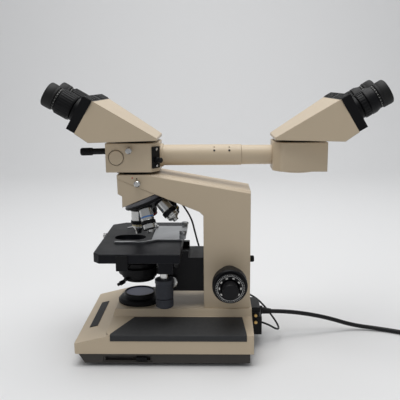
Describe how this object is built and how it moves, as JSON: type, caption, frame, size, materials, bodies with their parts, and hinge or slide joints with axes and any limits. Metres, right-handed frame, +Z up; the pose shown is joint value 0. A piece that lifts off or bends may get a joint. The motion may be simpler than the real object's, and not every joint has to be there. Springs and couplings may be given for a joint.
{
  "type": "microscope",
  "caption": "Laboratory microscope with a bridge carrying a second binocular head that faces the first, a tilted turret, a coaxial-knob stage, a base with armrest pads and a mains cord.",
  "frame": {"origin": "on the table, midway in length and width of the microscope without its cord", "axes": "+Z up; -X towards the operator of the main head, over the objectives; +Y to the far side of the stage"},
  "size_m": [0.6369, 0.2367, 0.3837],
  "materials": {
    "beige_paint": "satin textured paint",
    "black_paint": "satin crinkle",
    "black_plastic": "matte",
    "dark_plastic": "matte",
    "grey_rubber": "matte",
    "foot_rubber": "matte",
    "black_rubber": "matte",
    "cord_jacket": "matte",
    "steel": "satin chrome",
    "inner_alloy": "cast",
    "lens_glass": "clear",
    "blue_glass": "frosted"
  },
  "bodies": {
    "base": {"base_casting": "beige_paint", "armrest_pads": "grey_rubber", "base_skirt": "dark_plastic", "rubber_feet": "foot_rubber", "front_plate": "black_paint", "field_lens_collar": "black_paint", "filter_and_lens": "blue_glass", "lamp_unit": "inner_alloy", "arm_casting": "beige_paint", "nosepiece_mount": "beige_paint", "lamp_socket_block": "black_plastic", "strain_relief": "black_rubber", "main_cord": "cord_jacket", "cord_coil": "cord_jacket", "cord_plug": "black_rubber", "pointer_cable": "cord_jacket"},
    "bridge": {"splitter_box": "beige_paint", "bridge_prisms": "lens_glass", "bridge_tube": "beige_paint", "bridge_tube_end": "beige_paint", "second_box": "beige_paint", "switch_plate": "black_paint"},
    "carriage": {"stage_carrier": "black_paint"},
    "coarse_knob": {"coarse_knobs": "black_plastic"},
    "fine_knob": {"fine_knobs": "black_plastic"},
    "stage": {"stage_plate": "black_paint"},
    "x_knob": {"stage_x_knob": "black_plastic"},
    "holder": {"specimen_holder": "steel"},
    "y_knob": {"stage_y_knob": "black_plastic"},
    "finger": {"holder_finger": "steel"},
    "condenser": {"condenser_carrier": "black_paint", "condenser_body": "black_paint"},
    "condenser_knob": {"condenser_knobs": "steel"},
    "iris": {"iris_lever": "steel"},
    "turret": {"turret": "black_paint", "turret_grip_ring": "steel", "objective_low": "steel", "objective_high": "steel", "objective_oil": "steel", "objective_medium": "black_paint", "objective_scan": "black_paint"},
    "slider": {"light_slider": "black_plastic"},
    "arm_screw": {"arm_clamp_screw": "steel"},
    "rear_knob": {"rear_lock_knob": "black_plastic"},
    "box_screw": {"box_clamp_screw": "steel"},
    "stick": {"pointer_stick": "black_plastic"},
    "selector": {"switch_knob": "black_plastic"},
    "stop_screw": {"stage_screw": "steel"},
    "left_head": {"left_head_housing": "beige_paint", "left_face_plate": "black_paint"},
    "left_tube_near": {"left_tube_near": "black_paint"},
    "left_eyepiece_near": {"left_eyepiece_near": "black_plastic"},
    "left_tube_far": {"left_tube_far": "black_paint"},
    "left_eyepiece_far": {"left_eyepiece_far": "black_plastic"},
    "right_head": {"right_head_housing": "beige_paint", "right_face_plate": "black_paint"},
    "right_tube_near": {"right_tube_near": "black_paint"},
    "right_eyepiece_near": {"right_eyepiece_near": "black_plastic"},
    "right_tube_far": {"right_tube_far": "black_paint"},
    "right_eyepiece_far": {"right_eyepiece_far": "black_plastic"}
  },
  "joints": [
    {"name": "bridge_swivel", "type": "hinge", "parent": "base", "child": "bridge", "pos_m": [-0.115, 0, 0.2603], "axis": [0, 0, 1], "range_deg": [-25, 25]},
    {"name": "left_head_swivel", "type": "hinge", "parent": "bridge", "child": "left_head", "pos_m": [-0.115, 0, 0.3045], "axis": [0, 0, 1], "range_deg": [-90, 90]},
    {"name": "left_spacing_near", "type": "slide", "parent": "left_head", "child": "left_tube_near", "axis": [0, -1, 0], "range_m": [-0.0045, 0.0045]},
    {"name": "left_dioptre_near", "type": "hinge", "parent": "left_tube_near", "child": "left_eyepiece_near", "pos_m": [-0.1874, -0.032, 0.3445], "axis": [-0.866, 0, 0.5], "range_deg": [-60, 60]},
    {"name": "left_spacing_far", "type": "slide", "parent": "left_head", "child": "left_tube_far", "axis": [0, 1, 0], "range_m": [-0.0045, 0.0045]},
    {"name": "left_dioptre_far", "type": "hinge", "parent": "left_tube_far", "child": "left_eyepiece_far", "pos_m": [-0.1874, 0.032, 0.3445], "axis": [-0.866, 0, 0.5], "range_deg": [-60, 60]},
    {"name": "right_head_swivel", "type": "hinge", "parent": "bridge", "child": "right_head", "pos_m": [0.115, 0, 0.3045], "axis": [0, 0, 1], "range_deg": [-90, 90]},
    {"name": "right_spacing_near", "type": "slide", "parent": "right_head", "child": "right_tube_near", "axis": [0, -1, 0], "range_m": [-0.0045, 0.0045]},
    {"name": "right_dioptre_near", "type": "hinge", "parent": "right_tube_near", "child": "right_eyepiece_near", "pos_m": [0.1874, -0.032, 0.3445], "axis": [0.866, 0, 0.5], "range_deg": [-60, 60]},
    {"name": "right_spacing_far", "type": "slide", "parent": "right_head", "child": "right_tube_far", "axis": [0, 1, 0], "range_m": [-0.0045, 0.0045]},
    {"name": "right_dioptre_far", "type": "hinge", "parent": "right_tube_far", "child": "right_eyepiece_far", "pos_m": [0.1874, 0.032, 0.3445], "axis": [0.866, 0, 0.5], "range_deg": [-60, 60]},
    {"name": "stage_focus", "type": "slide", "parent": "base", "child": "carriage", "axis": [0, 0, 1], "range_m": [-0.011, 0.002]},
    {"name": "coarse_focus", "type": "hinge", "parent": "base", "child": "coarse_knob", "pos_m": [0.0186, 0, 0.1087], "axis": [0, 1, 0], "range_deg": [-275, 55]},
    {"name": "fine_focus", "type": "hinge", "parent": "coarse_knob", "child": "fine_knob", "pos_m": [0.0186, 0, 0.1087], "axis": [0, 1, 0], "continuous": true},
    {"name": "stage_travel", "type": "slide", "parent": "carriage", "child": "stage", "axis": [1, 0, 0], "range_m": [-0.038, 0.002]},
    {"name": "stage_travel_knob", "type": "hinge", "parent": "stage", "child": "x_knob", "pos_m": [-0.0722, -0.065, 0.09], "axis": [0, 0, 1], "range_deg": [-460, 30]},
    {"name": "holder_travel", "type": "slide", "parent": "stage", "child": "holder", "axis": [0, 1, 0], "range_m": [-0.025, 0.038]},
    {"name": "holder_travel_knob", "type": "hinge", "parent": "stage", "child": "y_knob", "pos_m": [-0.0722, -0.065, 0.1], "axis": [0, 0, 1], "range_deg": [-320, 480]},
    {"name": "finger_open", "type": "hinge", "parent": "holder", "child": "finger", "pos_m": [-0.095, 0.053, 0.162], "axis": [0, 0, 1], "range_deg": [-25, 0], "stiffness_Nm_per_rad": 0.02, "springref_deg": 9.74},
    {"name": "condenser_focus", "type": "slide", "parent": "carriage", "child": "condenser", "axis": [0, 0, 1], "range_m": [-0.005, 0.0015]},
    {"name": "condenser_knob_turn", "type": "hinge", "parent": "carriage", "child": "condenser_knob", "pos_m": [-0.0637, 0, 0.1025], "axis": [0, 1, 0], "range_deg": [-62, 20]},
    {"name": "iris_turn", "type": "hinge", "parent": "condenser", "child": "iris", "pos_m": [-0.115, 0, 0.0983], "axis": [0, 0, 1], "range_deg": [-28, 28]},
    {"name": "turret_turn", "type": "hinge", "parent": "base", "child": "turret", "pos_m": [-0.09514, 0, 0.20723], "axis": [0.3827, 0, -0.9239], "continuous": true},
    {"name": "light_level", "type": "slide", "parent": "base", "child": "slider", "axis": [1, 0, 0], "range_m": [-0.042, 0.003]},
    {"name": "arm_clamp_turn", "type": "hinge", "parent": "base", "child": "arm_screw", "pos_m": [-0.1095, -0.035, 0.245], "axis": [0, -1, 0], "range_deg": [0, 360]},
    {"name": "rear_lock_turn", "type": "hinge", "parent": "base", "child": "rear_knob", "pos_m": [0.0485, 0, 0.125], "axis": [1, 0, 0], "range_deg": [0, 360]},
    {"name": "box_clamp_turn", "type": "hinge", "parent": "bridge", "child": "box_screw", "pos_m": [-0.12, -0.035, 0.2912], "axis": [0, -1, 0], "range_deg": [0, 360]},
    {"name": "pointer_tilt", "type": "hinge", "parent": "bridge", "child": "stick", "pos_m": [-0.1535, -0.014, 0.2879], "axis": [0, 1, 0], "range_deg": [-6, 6]},
    {"name": "selector_turn", "type": "hinge", "parent": "bridge", "child": "selector", "pos_m": [-0.08475, -0.0275, 0.2769], "axis": [0.8192, -0.5735, 0], "range_deg": [-60, 60]},
    {"name": "stop_screw_turn", "type": "hinge", "parent": "stage", "child": "stop_screw", "pos_m": [-0.1655, 0.03, 0.153], "axis": [-1, 0, 0], "range_deg": [0, 360]}
  ],
  "couplings": [
    {"joint": "coarse_focus", "follows": "stage_focus", "rad_per_m": 427},
    {"joint": "stage_travel_knob", "follows": "stage_travel", "rad_per_m": 209},
    {"joint": "holder_travel_knob", "follows": "holder_travel", "rad_per_m": 209},
    {"joint": "condenser_knob_turn", "follows": "condenser_focus", "rad_per_m": 209},
    {"joint": "left_spacing_far", "follows": "left_spacing_near", "ratio": 1},
    {"joint": "right_spacing_far", "follows": "right_spacing_near", "ratio": 1}
  ]
}
